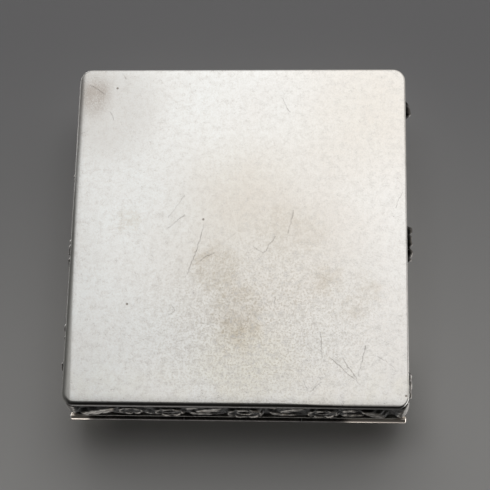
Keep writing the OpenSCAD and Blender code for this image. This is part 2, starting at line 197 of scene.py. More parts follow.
# Each stain's middle, half size, softness and strength
STAINS = (
    ((-5.6, 10.1), (6, 6.5), 0.35, 1), ((0, 21.5), (6.5, 7.5), 0.35, 0.9),
    ((1.2, 28.3), (5, 5), 0.5, 0.7), ((15, 0.5), (9, 7), 0.5, 0.5),
    ((24.1, 13.8), (3.4, 4), 0.5, 0.9), ((34, 15.9), (3, 4), 0.5, 0.7),
    ((31.2, 21.8), (3, 3), 0.5, 0.7), ((-29.7, -2.4), (2.4, 2.6), 0.5, 0.8))

plate_silver, place = new_finish("plate silver")
x, y, _ = place.split()
speck = place.grain(2.4, 4, 0.75)
mottle = place.grain(0.55, 4, 0.7)
cloud = place.grain(0.055, 3, 0.55)
drift = place.grain(0.16, 4, 0.6, 0.6)
worn = sum(hairlines(place, turn, 1.1, length, 0.03) for turn, length in WEAR) \
    * mottle.step(0.4, 0.65)
swirl_x, swirl_y, _ = place.moved((30, 22)).split()
swirl_out = (swirl_x * swirl_x + swirl_y * swirl_y).math("SQRT")
swirls = (1 - abs((swirl_out * 5.2 + drift * 4).math("SINE")).step(0, 0.3)) \
    * patch(place, (37, 13), (9, 12)) * drift.step(0.42, 0.6)
scored = nearest(bent_place(place, 1.1, 0.5, 2), SCRATCHES)
scored = (1 - (scored - mottle * 0.12).step(-0.02, 0.06)) * (0.55 + drift.step(0.35, 0.6) * 0.45)
pits = sum(patch(place, spot, (PIT_R, PIT_R), 0.3) for spot in PITS)
spread = bent_place(place, 12, 0.28, 5, 0.65)
stain = sum(patch(spread, spot, size, soft) * strength for spot, size, soft, strength in STAINS) \
    * (drift.step(0.3, 0.62) * 0.5 + mottle.step(0.4, 0.65) * 0.5 + speck.step(0.4, 0.62) * 0.6)
yellow = patch(place, (3.2, 34.9), (12, 9)) * 0.5 + y.step(28, 46) * 0.4 * drift.step(0.3, 0.7)
warm = patch(place, (36, -34), (16, 15), 0.8) + patch(place, (0, -10), (12, 12), 0.8) * 0.7
smudge = patch(place, (-40.6, -39.6), (3.4, 5), 0.9) \
    * (0.15 + drift.step(0.35, 0.65) * 0.4 + speck.step(0.35, 0.6) * 0.6) \
    + patch(place, (-38, -36), (14, 15)) * 0.32
worn_down = patch(place, (7, 3), (24, 28), 0.7) * (0.55 + mottle * 0.9)
lower = patch(place, (6, 27), (24, 19), 0.8)
grit = place.grain(1.7, 3, 0.8).step(0.48, 0.6) * (0.2 + lower * 0.9)
specks = speck.step(0.38, 0.7) * 0.7 + mottle.step(0.35, 0.7) * 0.3
side = (x * 0.011 + 0.5) + (cloud - 0.5) * 1.4
left_bend = (-1 * x).step(EDGE_X - 1.7, EDGE_X - 1)
# Painted shade: a darker strip on the lower part of the left bend
left_edge_painted_shade = (y * 0.03 - x).step(EDGE_X - 1.3, EDGE_X - 0.7) * y.step(-30, 0)
# Painted shade: the back bend is painted near black
back_edge_painted_shade = y.step(EDGE_Y - 1.2, EDGE_Y - 0.45)
# The bare silver first, then wear and stains over it, then scratches, and last the dark edges,
# which are painted shade
colour = side.tint((0.85, 0.865, 0.855), (0.89, 0.862, 0.825))
colour = specks.tint(colour, (0.775, 0.762, 0.735))
colour = grit.tint(colour, (0.75, 0.725, 0.685), "MULTIPLY")
colour = (worn_down * 0.8).tint(colour, (0.89, 0.86, 0.82), "MULTIPLY")
colour = (stain * 0.62).tint(colour, (0.90, 0.85, 0.77), "MULTIPLY")
colour = yellow.tint(colour, (0.97, 0.95, 0.87), "MULTIPLY")
colour = warm.tint(colour, (0.95, 0.93, 0.90), "MULTIPLY")
colour = (smudge * 0.95).tint(colour, (0.48, 0.44, 0.40))
colour = (worn * (0.27 + lower * 0.25)).tint(colour, (0.58, 0.56, 0.53))
colour = (swirls * 0.24).tint(colour, (0.58, 0.54, 0.49))
colour = (scored * 0.34 + pits).tint(colour, (0.30, 0.27, 0.24))
# Painted shade on the left bend
colour = (left_edge_painted_shade * 0.7).tint(colour, (0.32, 0.315, 0.29))
# Painted shade along the back bend
colour = (back_edge_painted_shade * 0.95).tint(colour, (0.035, 0.03, 0.027))
metal(place, colour, 0.33 + cloud * 0.06 - worn * 0.03 + stain * 0.04 + left_bend * 0.3,
      speck * 0.2 + mottle * 0.3 - worn * 0.2 - swirls * 0.3 - scored - pits, 0.02)

GILT_DEEP, GILT_PALE = (0.83, 0.64, 0.36), (0.86, 0.72, 0.48)


def polish_lines(place, *sets):
    """Fine lines left by polishing; a set is a turn, a spacing, a length and a strength."""
    return sum(hairlines(place, turn, spacing, length, 0.05) * strength
               for turn, spacing, length, strength in sets)


gilt, place = new_finish("gilt")
drift = place.grain(0.12, 4, 0.6, 0.4)
fine = place.grain(1.6, 4, 0.6)
worn = polish_lines(place, (12, 1.3, 20, 0.5), (97, 1.5, 24, 0.5))
colour = drift.step(0.35, 0.7).tint(GILT_DEEP, GILT_PALE)
colour = (drift.step(0.6, 0.72) * fine).tint(colour, (0.82, 0.78, 0.70))
colour = (worn * 0.3).tint(colour, (0.55, 0.42, 0.25))
metal(place, colour, 0.3 + drift * 0.12, fine * 0.3 - worn * 0.4, 0.02)


def edges_selected(piece, wanted):
    """Leaves the piece in edit mode with just the edges selected whose ends are wanted."""
    bpy.ops.object.mode_set(mode="OBJECT")
    mesh = piece.data
    for items in (mesh.vertices, mesh.edges, mesh.polygons):
        items.foreach_set("select", np.zeros(len(items), bool))
    for edge in mesh.edges:
        edge.select = all(wanted(mesh.vertices[end].co) for end in edge.vertices)
    bpy.ops.object.mode_set(mode="EDIT")
    bpy.ops.mesh.select_mode(type="EDGE")


def cut_across(axis, start, end, parts):
    """Cuts the piece that is in edit mode across an axis, into parts of one width."""
    for at in np.linspace(start, end, parts + 1)[1:-1]:
        spot, facing = [0, 0, 0], [0, 0, 0]
        spot[axis], facing[axis] = at, 1
        bpy.ops.mesh.select_all(action="SELECT")
        bpy.ops.mesh.bisect(plane_co=spot, plane_no=facing)


def places(mesh):
    """The corners of a mesh as an array, in mm."""
    corners = np.empty(3 * len(mesh.vertices), np.float32)
    mesh.vertices.foreach_get("co", corners)
    return corners.reshape(-1, 3).astype(float) / MM


def put_back(mesh, corners):
    """Moves the corners of a mesh to places in mm."""
    mesh.vertices.foreach_set("co", (corners * MM).astype(np.float32).ravel())
    mesh.update()


def made_thick(piece, thickness, outside, inside):
    """Gives a sheet its thickness, and one finish outside and another inside."""
    bpy.ops.object.mode_set(mode="OBJECT")
    piece.data.materials.append(outside)
    piece.data.materials.append(inside)
    skin = piece.modifiers.new("Solidify", "SOLIDIFY")
    skin.thickness, skin.offset, skin.material_offset = thickness, -1, 1
    bpy.ops.object.modifier_apply(modifier=skin.name)


def stands_for(piece, node, body):
    """Says which solid a new piece replaces and what it moves with, and shades it smooth."""
    bpy.ops.object.mode_set(mode="OBJECT")
    piece.data.shade_smooth()
    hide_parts(node)
    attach(piece, body)


corner_r, bend_r, tray_sheet = 3.4 * MM, 1.2 * MM, 0.8 * MM
PARTS = 32
bpy.ops.object.select_all(action="DESELECT")
bpy.ops.mesh.primitive_plane_add(size=1, location=(0, 0, high.z))
tray = bpy.context.object
tray.name = "tray"
tray.scale = (high.x - low.x, high.y - low.y, 1)
bpy.ops.object.transform_apply(location=True, rotation=True, scale=True)
bpy.ops.object.mode_set(mode="EDIT")
bpy.ops.mesh.bevel(offset=corner_r, segments=10, affect="VERTICES")
bpy.ops.mesh.extrude_region_move(TRANSFORM_OT_translate={"value": (0, 0, low.z - high.z)})
bpy.ops.mesh.select_all(action="SELECT")
bpy.ops.mesh.normals_make_consistent(inside=False)
edges_selected(tray, lambda end: end.z < low.z + MM * 0.01)
bpy.ops.mesh.bevel(offset=bend_r, segments=8, affect="EDGES")
for axis, half in ((0, high.x), (1, high.y)):
    cut_across(axis, -half, half, PARTS)
bpy.ops.object.mode_set(mode="OBJECT")
corners = places(tray.data)
x, y, z = corners.T
core_x = np.clip(x, (corner_r - high.x) / MM, (high.x - corner_r) / MM)
core_y = np.clip(y, (corner_r - high.y) / MM, (high.y - corner_r) / MM)
out = np.hypot(x - core_x, y - core_y)
way_x, way_y = (x - core_x) / np.maximum(out, 1e-6), (y - core_y) / np.maximum(out, 1e-6)
# The bend is tighter along the front and the right, and along the right half of the back
TIGHTER, TIGHTER_BACK = 0.6, 0.55
bend = (out > (corner_r - bend_r) / MM - 0.01) & (z < bend_r / MM - 0.1)
sharp = np.clip(TIGHTER * (np.maximum(way_x, 0) + np.maximum(-way_y, 0))
                + TIGHTER_BACK * np.maximum(way_y, 0) * np.clip((x - 13) / 16, 0, 1),
                0, TIGHTER) * bend
new_out = corner_r / MM - (corner_r / MM - out) * (1 - sharp)
x, y, z = core_x + way_x * new_out, core_y + way_y * new_out, z * (1 - sharp)
# The flat underside is hollowed by up to twice this, in waves that fade towards the bend
HOLLOW = 0.09
FLAT_X, FLAT_Y, FADE = 44, 46, 12
flat = np.clip((np.minimum(FLAT_X - abs(x), FLAT_Y - abs(y))) / FADE, 0, 1)
waves = np.sin(0.11 * x + 0.6) * np.cos(0.09 * y - 0.4) * np.sin(0.05 * (x + y))
z = z + np.where(z < 0.05, HOLLOW * flat * (1 + waves), 0)
put_back(tray.data, np.stack([x, y, z], 1))
made_thick(tray, tray_sheet, plate_silver, gilt)
stands_for(tray, "base_tray", "body")


# Body wall: one strip of thin silver, raised from behind into flowers, leaves and
# stems, bent round the box and soldered behind the tray's edge, its ends joined near
# one end of the back. The hollows have gone black and the high parts are rubbed; the
# whole wall, high parts too, is also painted dark as painted shade.
def bell(q):
    """1 in the middle, rounding off to 0 where q is 1."""
    return (1 + np.cos(np.pi * np.clip(np.abs(q), 0, 1))) / 2


class Relief:
    """Raised work as heights over a sheet, built up one motif at a time."""

    def __init__(self, x, y, around=None):
        self.x, self.y, self.around = x, y, around
        self.height = np.zeros(x.shape)

    def near(self, x, y, tilt, reach):
        """The sheet round a spot: a mask, and offsets along and across a tilted line."""
        dx, dy = self.x - x, self.y - y
        if self.around:
            dx = (dx + self.around / 2) % self.around - self.around / 2
        close = dx * dx + dy * dy < reach * reach
        c, s = math.cos(math.radians(tilt)), math.sin(math.radians(tilt))
        dx, dy = dx[close], dy[close]
        return close, dx * c + dy * s, dy * c - dx * s

    def lay(self, close, inside, height, border=0.25):
        """Lays a motif over what is there, with a chased line round it."""
        old = self.height[close]
        line = bell((inside - 1 - border / 2) / border) * (inside > 1)
        self.height[close] = np.where(
            inside < 1, np.maximum(old * 0.35, height), old * (1 - 0.6 * line))

    def flower(self, x, y, r, tall, petals=7, turn=20):
        """An open flower: an outer and an inner ring of petals round a hollow middle."""
        close, dx, dy = self.near(x, y, turn, 1.4 * r)
        petal = np.abs(np.cos(petals * np.arctan2(dy, dx) / 2))
        inside = np.hypot(dx, dy) / r / (0.88 + 0.12 * petal ** 0.6)
        cup = np.interp(inside, [0, 0.07, 0.14, 0.28, 0.37, 0.45, 0.53, 0.68, 0.84, 0.92, 1],
                        [0.26, 0.22, 0.05, 0.08, 0.70, 0.78, 0.20, 0.40, 0.92, 1.0, 0.08])
        self.lay(close, inside, tall * cup * (1 - 0.5 * bell(petal / 0.4) * (inside > 0.46)))

    def leaf(self, x, y, r, width, tilt, bow, tall, lobes=4):
        """A bent leaf with lobes, a midrib and veins; r and width are half sizes."""
        close, u, v = self.near(x, y, tilt, 1.25 * r + abs(bow))
        t = u / r
        v = v + bow * t * t
        notch = 1 - 0.24 * np.abs(np.cos(np.pi * lobes * (t + 1) / 2)) ** 3
        half = width * np.sqrt(np.clip(1 - t * t, 0, 1)) * notch
        inside = np.where(np.abs(t) < 1, np.abs(v) / np.maximum(half, 0.05), 9)
        between = (lobes * (t + 1) / 2 - 0.45 * inside + 0.5) % 1 - 0.5
        vein = bell(between / 0.2) * (inside < 0.93)
        rib = bell(v / (0.16 * width + 0.12)) * (t < 0.85)
        body = np.clip(1 - inside ** 2.4, 0, 1) ** 0.6 * (0.85 + 0.15 * t)
        self.lay(close, inside, tall * body * (1 - 0.18 * vein - 0.24 * rib))

    def stem(self, x, y, r, width, tilt, bow, tall):
        """A bent stem that swells along its length and ends in a bud."""
        close, u, v = self.near(x, y, tilt, 1.25 * r + abs(bow))
        t = np.clip(u / r, -1, 1)
        inside = np.hypot(v + bow * t * t, u - t * r) / (width * (0.75 + 0.25 * t))
        body = np.clip(1 - inside ** 2, 0, 1) ** 0.6
        self.lay(close, inside, tall * (0.8 + 0.2 * t) * body, 0.5)
        c, s = math.cos(math.radians(tilt)), math.sin(math.radians(tilt))
        self.bud(x + r * c + bow * s, y + r * s - bow * c, 1.5 * width, tall * 1.1)

    def bud(self, x, y, r, tall):
        """A plain round boss."""
        close, dx, dy = self.near(x, y, 0, 1.3 * r)
        inside = np.hypot(dx, dy) / r
        self.lay(close, inside, tall * np.sqrt(np.clip(1 - inside ** 2, 0, 1)))

    def shell(self, x, y, r, tilt, tall, ribs=9):
        """Half a scallop shell: a fan of rounded ribs with a scalloped edge."""
        close, dx, dy = self.near(x, y, tilt, 1.3 * r)
        share = np.arctan2(dy, dx) / math.radians(84)
        rib = np.abs(np.cos(np.pi * ribs * (share + 1) / 2))
        far = np.hypot(dx, dy) / r
        inside = np.maximum(far / (0.88 + 0.12 * rib ** 0.7), np.abs(share) ** 4)
        body = np.interp(far, [0, 0.15, 0.45, 0.8, 0.95, 1.0], [0.35, 0.55, 0.8, 1.0, 0.85, 0.2])
        self.lay(close, inside, tall * body * (1 - 0.30 * (1 - rib) * (far > 0.12)))


def neighbours(height, axis, closed):
    """The heights one step before and one after; a closed strip runs on round its ends."""
    if axis == 1 and closed:
        return np.roll(height, 1, 1), np.roll(height, -1, 1)
    kept = np.pad(height, [(1, 1) if axis == k else (0, 0) for k in (0, 1)], "edge")
    steps = height.shape[axis]
    return kept.take(range(0, steps), axis), kept.take(range(2, steps + 2), axis)


def softened(height, reach, step, closed):
    """The heights blurred over a reach in mm."""
    for _ in range(max(1, round(2 * (reach / step) ** 2))):
        for axis in (0, 1):
            before, after = neighbours(height, axis, closed)
            height = (before + 2 * height + after) / 4
    return height


def rubbing(height, step, closed, low, high, reach=1.3):
    """How much a place is rubbed, from its share of the greatest height within a reach."""
    top = height
    for _ in range(round(reach / step)):
        for axis in (0, 1):
            top = np.maximum(top, np.maximum(*neighbours(top, axis, closed)))
    top = np.maximum(softened(top, 0.5, step, closed), 0.25 * height.max())
    return np.clip((height / top - low) / (high - low), 0, 1)


# The wall stands inside the tray's edge, with solder between, and goes straight for
# these half lengths between its corners
WALL_CORNER, SOLDER = 2.55, 0.05
WALL_X, WALL_Y = (round((edge - tray_sheet) / MM - SOLDER - WALL_CORNER, 2)
                  for edge in (high.x, high.y))
low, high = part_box("body_wall")
WALL_LOW, WALL_HIGH, WALL_SHEET = round(low.z / MM, 2), round(high.z / MM, 2), 0.6
# Front, right, back and left: each side's straight half length, its greatest height, how
# far its drawing slides to the right, and the share of height that its lesser motifs have.
# The strip runs round the box from the middle of the front
SIDES = ((WALL_X, 2.6, 1, 1), (WALL_Y, 2.9, 3.2, 0.5), (WALL_X, 1.7, 0, 1), (WALL_Y, 2.2, -2, 1))
# Its ends meet this far short of the middle of the back
BACK, JOIN = 2, 39.4
CORNER_ARC = WALL_CORNER * math.pi / 2
AROUND = 2 * sum(side[0] for side in SIDES) + 4 * CORNER_ARC
middles, reached = [], -WALL_X
for half, *_ in SIDES:
    middles.append(reached + half)
    reached += 2 * half + CORNER_ARC
# The drawing is that of the back, in mm from its middle. Flowers have their place, radius
# and height, and leaves and stems their place, half length, half width, tilt, bow and height
MAIN_FLOWER = (-2.5, 0, 5.2, 1)
FLOWERS = ((-22.9, 0, 4.5, 0.95), (17.5, 0, 4.3, 0.92), (27.6, -0.4, 3.6, 0.8))
LEAVES = (
    (-30.2, 2.7, 4.4, 2.1, -14, 1.1, 0.78), (-30, -2.7, 4.4, 2.1, 14, -1.1, 0.78),
    (-15, -2.5, 4.8, 2.1, 26, -1.2, 0.75), (-11.8, 2.3, 4.8, 2.1, -30, 1.2, 0.78),
    (5.9, -1.6, 4.8, 2.6, 18, 0.8, 0.8), (10, 2.8, 4.4, 1.9, -28, 1.1, 0.75),
    (12.2, -3, 3.4, 1.7, 24, -0.8, 0.72), (22.9, 2.6, 3.6, 1.8, -40, 0.9, 0.7))
CORNER_LEAVES = (
    (-43.6, 0.2, 5, 2.3, 84, -0.4, 0.85), (-36.6, 0.4, 5.4, 3.2, -62, -0.9, 1),
    (35.6, 0, 6, 3.2, 24, 1.1, 1))
STEMS = (
    (-24.6, -4.9, 3, 0.6, -4, -0.5, 0.5), (-18.4, 4.4, 3.2, 0.6, 4, 0.9, 0.5),
    (-8.4, -4.4, 3.8, 0.6, 172, 1, 0.5), (4.4, 4, 3.4, 0.6, 10, 1, 0.5),
    (21.6, -4.2, 3.4, 0.6, -8, -1, 0.5), (31.4, 4, 3.6, 0.6, 172, -1, 0.5))
BAND_MIDDLE, BAND_HALF, DRAWN_HALF = 7.9, 5.8, 5.3
# Towards a corner the relief goes over to the mean height of the two sides that meet there
CHANGE_FROM, CHANGE_OVER = 33.5, 9.5
EDGE_FADE, UNDER_THE_SOLID = 1.1, 0.985
wall_cols, wall_rows = 992, 37
wall_step = AROUND / wall_cols


def on_side(along, count):
    """How far each place on the strip is from the middle of a side, and whether it is on it."""
    run = (along - middles[count] + AROUND / 2) % AROUND - AROUND / 2
    return run, np.abs(run) <= SIDES[count][0] + CORNER_ARC / 2 + 1e-6


along, up = np.meshgrid(middles[BACK] - JOIN + wall_step * np.arange(wall_cols),
                        np.linspace(WALL_LOW, WALL_HIGH, wall_rows))
wall = Relief(along, (up - BAND_MIDDLE) * DRAWN_HALF / BAND_HALF, AROUND)
wall_tall = np.zeros(along.shape)
draw = np.random.default_rng(7)
for count, (half, tall, slide, lesser) in enumerate(SIDES):
    stretch = half / WALL_X
    run, here = on_side(along, count)
    drawn = run[here] / stretch
    after, before = [SIDES[(count + turn) % 4][1] for turn in (1, 3)]
    wall_tall[here] = tall + (np.where(drawn > 0, after, before) - tall) \
        * np.clip((np.abs(drawn) - CHANGE_FROM) / CHANGE_OVER, 0, 1) / 2
    for kind, motifs, slid, share in (
            (wall.stem, STEMS, slide, lesser), (wall.leaf, LEAVES, slide, lesser),
            (wall.leaf, CORNER_LEAVES, 0, 1), (wall.flower, FLOWERS, slide, lesser),
            (wall.flower, [MAIN_FLOWER], slide, 1)):
        for x, y, *size, raised in motifs:
            kind(middles[count] + (x + slid) * stretch, y, *size,
                 raised * share * draw.uniform(0.94, 1))
edge_left = np.minimum(up - BAND_MIDDLE + BAND_HALF, BAND_HALF - up + BAND_MIDDLE)
wall_share = np.clip(wall.height, 0, 1) * np.clip(edge_left / EDGE_FADE, 0, 1) ** 0.7
wall_share = softened(wall_share, 0.16, wall_step, True)
wall_rub = rubbing(wall_share, wall_step, True, 0.45, 0.92) * np.clip(0.3 + edge_left, 0, 1)
wall_height = wall_share * wall_tall * UNDER_THE_SOLID
wall_back = np.minimum(softened(wall_height, 0.6, wall_step, True), wall_height + 0.2)


def round_the_box(along, out):
    """Where a place on the strip comes to be once it is bent round the box."""
    x, y = np.zeros(along.shape), np.zeros(along.shape)
    for count, (half, *_) in enumerate(SIDES):
        run, here = on_side(along, count)
        run, beyond = run[here], WALL_CORNER + out[here]
        straight = np.clip(run, -half, half)
        facing = math.radians(90 * count - 90)
        way = facing + (run - straight) / WALL_CORNER
        deep = WALL_X if half == WALL_Y else WALL_Y
        x[here] = deep * math.cos(facing) - straight * math.sin(facing) + beyond * np.cos(way)
        y[here] = deep * math.sin(facing) + straight * math.cos(facing) + beyond * np.sin(way)
    return x, y


def grid_sheet(name, cols, rows):
    """A flat grid, and the column and row of each of its corners."""
    bpy.ops.object.select_all(action="DESELECT")
    bpy.ops.mesh.primitive_grid_add(x_subdivisions=cols, y_subdivisions=rows, size=2)
    piece = bpy.context.object
    piece.name = name
    corners = places(piece.data) * MM
    col = np.rint((corners[:, 0] + 1) / 2 * cols).astype(int)
    row = np.rint((corners[:, 1] + 1) / 2 * rows).astype(int)
    return piece, col, row


def keep_value(mesh, name, values):
    """Keeps a value for each corner of a mesh under a name."""
    kept = mesh.attributes.new(name, "FLOAT", "POINT")
    kept.data.foreach_set("value", values.astype(np.float32))


def kept_value(mesh, name):
    """The value that each corner of a mesh keeps under a name."""
    values = np.empty(len(mesh.vertices), np.float32)
    mesh.attributes[name].data.foreach_get("value", values)
    return values.astype(float)


def matted(place, scale):
    """The rough ground that a matting punch leaves between the motifs."""
    return place.node("TexVoronoi", {"Vector": place, "Scale": scale, "Randomness": 0.8},
                      distance="EUCLIDEAN").step(0.05, 0.4)


raised_silver_painted_shade, place = new_finish("raised silver painted dark")
rub = place.node("Attribute", out=2, attribute_name="rubbed")
drift = place.grain(0.22, 4, 0.6, 0.5)
fine = place.grain(3.2, 3, 0.6)
clean = (rub + (fine - 0.5) * 0.2 + (drift - 0.5) * 0.25).step(0.30, 0.85)
# Black hollows are patina; that even the rubbed high parts stay dark is painted shade
colour = clean.node("ValToRGB", {0: clean}, stops=(
    (0, (0.012, 0.011, 0.010)), (0.35, (0.034, 0.031, 0.028)),
    (0.7, (0.078, 0.072, 0.065)), (1, (0.17, 0.158, 0.143))))
colour = (drift.step(0.5, 0.7) * 0.5).tint(colour, (0.78, 0.66, 0.52), "MULTIPLY")
metal(place, colour, 0.48 - clean * 0.12 + fine * 0.06,
      fine * 0.5 + matted(place, 1.9) * (1 - rub.step(0, 0.2)) * 0.8, 0.05)

strip, col, row = grid_sheet("repousse_wall", wall_cols, wall_rows - 1)
col = col % wall_cols
for name, field in (("along", along), ("up", up), ("behind", wall_back), ("rubbed", wall_rub)):
    keep_value(strip.data, name, field[row, col])
x, y = round_the_box(along[row, col], wall_height[row, col])
put_back(strip.data, np.stack([x, y, up[row, col]], 1))
bpy.ops.object.mode_set(mode="EDIT")
bpy.ops.mesh.select_all(action="SELECT")
bpy.ops.mesh.remove_doubles(threshold=0.01 * MM)
bpy.ops.object.mode_set(mode="OBJECT")
outer = len(strip.data.vertices)
made_thick(strip, WALL_SHEET * MM, raised_silver_painted_shade, gilt)
corners = places(strip.data)
inner_along, inner_up, behind = (kept_value(strip.data, name)[outer:]
                                 for name in ("along", "up", "behind"))
x, y = round_the_box(inner_along, behind - WALL_SHEET)
corners[outer:] = np.stack([x, y, inner_up], 1)
put_back(strip.data, corners)
for name in ("along", "up", "behind"):
    strip.data.attributes.remove(strip.data.attributes[name])
stands_for(strip, "body_wall", "body")


# Rims, bearers and bezel: drawn half-round wire round the mouth of the body and of the
# lid, a square strip behind each side of the hinge, and a thin gilt strip inside the
# mouth. They keep the solids' shapes; the silver is rubbed bright and dark in its seams.
def give_finish(finish, *nodes):
    """Gives solids that stay as they are their finish."""
    for node in nodes:
        cad[node].data.materials.clear()
        cad[node].data.materials.append(finish)


mouth = frame["joints"][0]["pos_m"][2] / MM
rim_silver, place = new_finish("rim silver")
_, _, z = place.split()
drift = place.grain(0.3, 4, 0.6, 0.4)
fine = place.grain(2.6, 4, 0.6)
drawn = hairlines(place, 3, 0.7, 14, 0.07) * 0.5 + hairlines(place, 92, 0.7, 14, 0.07) * 0.5
seam_dirt = abs(abs(z - mouth) - 0.85).step(0.55, 0.86) * drift.step(0.3, 0.65)
colour = drift.tint((0.66, 0.63, 0.58), (0.80, 0.775, 0.73))
colour = (fine.step(0.5, 0.75) * 0.35).tint(colour, (0.44, 0.40, 0.35))
colour = (drawn * 0.3).tint(colour, (0.40, 0.37, 0.33))
colour = (seam_dirt * 0.8).tint(colour, (0.05, 0.045, 0.04))
metal(place, colour, 0.30 + drift * 0.14, fine * 0.4 - drawn * 0.5, 0.02)
give_finish(rim_silver, "body_rim", "body_hinge_bearer", "lid_rim", "lid_hinge_bearer")
give_finish(gilt, "inner_bezel")


# Hinge: three knuckles of silver tube on one hard wire pin, closed at both ends by a
# small domed plug. The outer knuckles belong to the body and the middle one to the lid;
# the tube is painted black, partly as age and partly as painted shade, and its ends
# bright, partly as rubbed silver and partly as painted highlight.
low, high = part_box("hinge_knuckle_centre")
hinge_silver, place = new_finish("hinge silver")
x, _, _ = place.split()
drift = place.grain(0.25, 4, 0.6, 0.5)
fine = place.grain(2.4, 4, 0.6)
# The bright ends are partly rubbed silver and partly painted highlight
worn_ends_and_painted_highlight = x.step(26, 33).most((-1 * x).step(38, 42))
left_break, right_break = (1 - abs(x - at).step(0.1, 0.7)
                           for at in (low.x / MM - 0.05, high.x / MM + 0.05))
breaks = right_break.most(left_break)
clean = (worn_ends_and_painted_highlight * 0.8 + drift * 0.45 + (fine - 0.5) * 0.4 - breaks * 0.6).step(0.1, 0.95)
# The black is partly age and partly painted shade
colour = clean.node("ValToRGB", {0: clean}, stops=(
    (0, (0.03, 0.027, 0.025)), (0.4, (0.20, 0.18, 0.165)), (1, (0.88, 0.79, 0.70))))
metal(place, colour, 0.38 - clean * 0.1, fine, 0.02)
give_finish(hinge_silver, "hinge_knuckle_left", "hinge_knuckle_centre", "hinge_knuckle_right",
            "hinge_plug_left", "hinge_plug_right")

pin_steel, place = new_finish("pin steel")
fine = place.grain(3, 3, 0.6)
drift = place.grain(0.4, 3, 0.6)
colour = drift.tint((0.30, 0.29, 0.28), (0.42, 0.40, 0.38))
metal(place, colour, 0.35 + drift * 0.15, fine, 0.01)
give_finish(pin_steel, "hinge_pin")


# Lid wall: plain silver sheet drawn up to a rounded shoulder with a flat lip inside it,
# soldered on the lid's rim. It is polished and finely scratched, dark where it meets
# the rim and the panel, and gilt inside.
low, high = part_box("lid_wall")
FOOT, TOP, SHOULDER_R = low.z / MM, high.z / MM, 2.4
POLISHED = (0.50, 0.48, 0.44)
lid_silver, place = new_finish("lid silver")
_, _, z = place.split()
drift = place.grain(0.14, 4, 0.6, 0.4)
fine = place.grain(2.2, 4, 0.6)
worn = polish_lines(place, (8, 1.0, 20, 0.5), (97, 1.1, 18, 0.5), (50, 1.6, 12, 0.4))
foot = (1 - z.step(FOOT, FOOT + 0.6)) * (0.4 + drift * 0.9)
top_seam = z.step(TOP - 0.3, TOP + 0.05) * (0.4 + drift * 0.9)
colour = drift.tint((0.80, 0.785, 0.75), (0.88, 0.865, 0.83))
colour = (fine.step(0.4, 0.75) * 0.35).tint(colour, (0.66, 0.63, 0.58))
colour = (worn * 0.3).tint(colour, POLISHED)
colour = ((foot + top_seam) * 0.75).tint(colour, (0.07, 0.06, 0.055))
# What lies more than about 0.3 mm inside the outer face is the gilt inside
past = place.node("VectorMath", {0: place}, operation="ABSOLUTE")
past = past.node("VectorMath", {0: past, 1: [at / MM - SHOULDER_R for at in high]},
                 operation="SUBTRACT")
past = past.node("VectorMath", {0: past, 1: (0, 0, 0)}, operation="MAXIMUM")
past = past.node("VectorMath", {0: past}, 1, operation="LENGTH")
within = 1 - past.step(SHOULDER_R - 0.35, SHOULDER_R - 0.25)
colour = within.tint(colour, drift.tint(GILT_DEEP, GILT_PALE))
metal(place, colour, 0.26 + drift * 0.10, fine * 0.3 - worn * 0.5, 0.02)
give_finish(lid_silver, "lid_wall")


# Lid panel: a sheet raised from behind and chased from the front, soldered on the lip:
# a flower in each corner, shells at the middles of the sides, smaller flowers and
# leaves between, and a beaded frame round a plain field.
low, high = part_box("lid_top")
PANEL_X, PANEL_Y, PANEL_R = high.x / MM, high.y / MM, 2
PANEL_LOW, PANEL_SHEET, PANEL_TALL = low.z / MM, 0.5, 2.28
FIELD_X, FIELD_Y, MARGIN = 17, 18, 1.6
FRAME_TALL, FRAME_HALF, BEAD = 1.25, 1.3, 2.2
panel_cols, panel_rows = 200, 210
row_y = np.linspace(-PANEL_Y, PANEL_Y, panel_rows + 1)
past = np.clip(np.abs(row_y) - (PANEL_Y - PANEL_R), 0, PANEL_R)
row_half = PANEL_X - PANEL_R + np.sqrt(PANEL_R ** 2 - past ** 2)
share, y = np.meshgrid(np.linspace(-1, 1, panel_cols + 1), row_y)
x = share * row_half[:, None]
panel = Relief(x, y)
panel_step = 2 * PANEL_X / panel_cols


def eight_times(kind, x, y, *size, tall):
    """One motif in all eight eighths of the lid, mirrored in its diagonals and middle lines."""
    for across in (False, True):
        for sx in (1, -1):
            for sy in (1, -1):
                px, py = (y * PANEL_X / PANEL_Y, x * PANEL_Y / PANEL_X) if across else (x, y)
                shape = list(size)
                for mirrored, turn in ((across, 90), (sx < 0, 180), (sy < 0, 0)):
                    if mirrored and len(shape) == 4:
                        shape[2:] = turn - shape[2], -shape[3]
                kind(sx * px + draw.uniform(-0.15, 0.15), sy * py + draw.uniform(-0.15, 0.15),
                     *shape, tall * draw.uniform(0.95, 1))


eight_times(panel.stem, 21.6, 21.4, 2.4, 0.6, 150, 0.6, tall=0.5)
eight_times(panel.leaf, 11.4, 31.6, 4.2, 1.6, 100, -1.2, tall=0.7)
eight_times(panel.leaf, 9.9, 22, 4.2, 1.5, 6, 0.9, tall=0.6)
eight_times(panel.leaf, 22.4, 39.2, 4, 2, -24, -1, tall=0.75)
eight_times(panel.leaf, 9.6, 39, 4.8, 2.1, 170, -0.9, tall=0.78)
eight_times(panel.leaf, 22.8, 28.4, 4.8, 2.3, 68, 1.1, tall=0.78)
eight_times(panel.leaf, 15.4, 25.8, 6, 2.9, -22, 1.5, tall=0.82)
eight_times(panel.flower, 16.8, 34.2, 4.6, tall=0.88)
for sx in (1, -1):
    for sy in (1, -1):
        panel.flower(sx * 31, sy * 33, 7.4, 1, 8, draw.uniform(0, 45))
        panel.bud(sx * 38.9, sy * 41, 1.1, 0.6)
SHELL_OUT, SHELL_R = 26, 10.2
